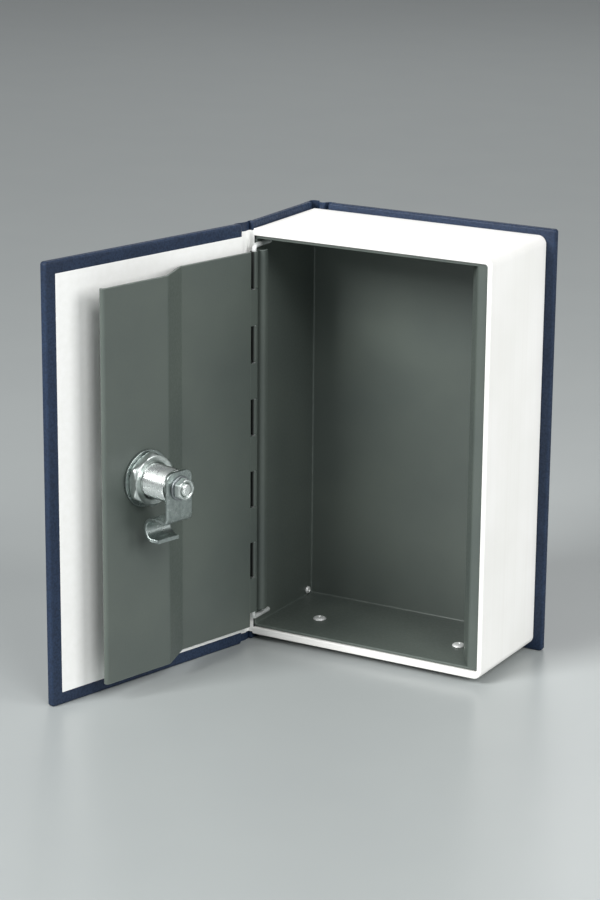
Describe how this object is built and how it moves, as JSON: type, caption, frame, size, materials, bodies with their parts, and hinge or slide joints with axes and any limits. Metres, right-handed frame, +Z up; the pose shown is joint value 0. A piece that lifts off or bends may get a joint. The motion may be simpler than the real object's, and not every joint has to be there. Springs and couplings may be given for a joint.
{
  "type": "book diversion safe",
  "caption": "Small steel key-lock safe dressed as a hardback book, with a hinged cover and door, a hooked cam lock and a white page block.",
  "frame": {"origin": "centre of the footprint of the open book, on the surface that it stands on", "axes": "+Z up along the height of the book, +Y from the front of the page block to the back cover, +X from the spine to the fore-edge"},
  "size_m": [0.1424, 0.1614, 0.1804],
  "materials": {
    "grey_paint": "satin powder coat, grey with a green cast",
    "page_plastic": "matt white with fine page lines",
    "board_card": "raw grey-brown board",
    "navy_cloth": "navy leatherette book cloth",
    "white_paper": "uncoated white paper",
    "white_foam": "closed-cell foam tape",
    "bright_plate": "bright nickel plate",
    "zinc_plate": "bright zinc plate, slightly worn",
    "brass": "turned brass",
    "spring_steel": "drawn spring wire"
  },
  "bodies": {
    "root": {"page_shell": "page_plastic", "steel_box": "grey_paint", "hinge_pin": "bright_plate", "floor_rivet_left": "bright_plate", "floor_rivet_right": "bright_plate", "spine_rivet": "bright_plate", "spine_board": "board_card", "back_board": "board_card", "back_cloth": "navy_cloth", "back_liner": "white_paper", "joint_cloth": "navy_cloth", "joint_lining": "white_paper"},
    "cover": {"front_board": "board_card", "front_cloth": "navy_cloth", "front_liner": "white_paper", "door": "grey_paint", "foam_strip_outer": "white_foam", "foam_strip_inner": "white_foam", "lock_housing": "bright_plate", "lock_washer": "zinc_plate", "lock_nut": "zinc_plate"},
    "lock_core": {"lock_plug": "bright_plate", "stop_washer": "zinc_plate", "cam": "zinc_plate", "cam_washer": "spring_steel", "cam_nut": "zinc_plate", "wafer_spring_1": "spring_steel", "wafer_spring_2": "spring_steel", "wafer_spring_3": "spring_steel", "wafer_spring_4": "spring_steel"},
    "wafer_a": {"wafer_1": "brass"},
    "wafer_b": {"wafer_2": "brass"},
    "wafer_c": {"wafer_3": "brass"},
    "wafer_d": {"wafer_4": "brass"}
  },
  "joints": [
    {"name": "cover_hinge", "type": "hinge", "parent": "root", "child": "cover", "pos_m": [-0.03921, 0.02588, 0.0902], "axis": [0, 0, 1], "range_deg": [-75.3, 104.7], "deforming": ["joint_cloth", "joint_lining"]},
    {"name": "lock_turn", "type": "hinge", "parent": "cover", "child": "lock_core", "pos_m": [-0.04667, -0.04474, 0.0895], "axis": [-0.9673, 0.2538, 0], "range_deg": [0, 90]},
    {"name": "wafer_slide_1", "type": "slide", "parent": "lock_core", "child": "wafer_a", "axis": [0, 0, 1], "range_m": [0, 0.0007], "stiffness_N_per_m": 60, "springref_m": -0.002, "deforming": ["wafer_spring_1"]},
    {"name": "wafer_slide_2", "type": "slide", "parent": "lock_core", "child": "wafer_b", "axis": [0, 0, 1], "range_m": [0, 0.0007], "stiffness_N_per_m": 60, "springref_m": -0.002, "deforming": ["wafer_spring_2"]},
    {"name": "wafer_slide_3", "type": "slide", "parent": "lock_core", "child": "wafer_c", "axis": [0, 0, 1], "range_m": [0, 0.0007], "stiffness_N_per_m": 60, "springref_m": -0.002, "deforming": ["wafer_spring_3"]},
    {"name": "wafer_slide_4", "type": "slide", "parent": "lock_core", "child": "wafer_d", "axis": [0, 0, 1], "range_m": [0, 0.0007], "stiffness_N_per_m": 60, "springref_m": -0.002, "deforming": ["wafer_spring_4"]}
  ]
}
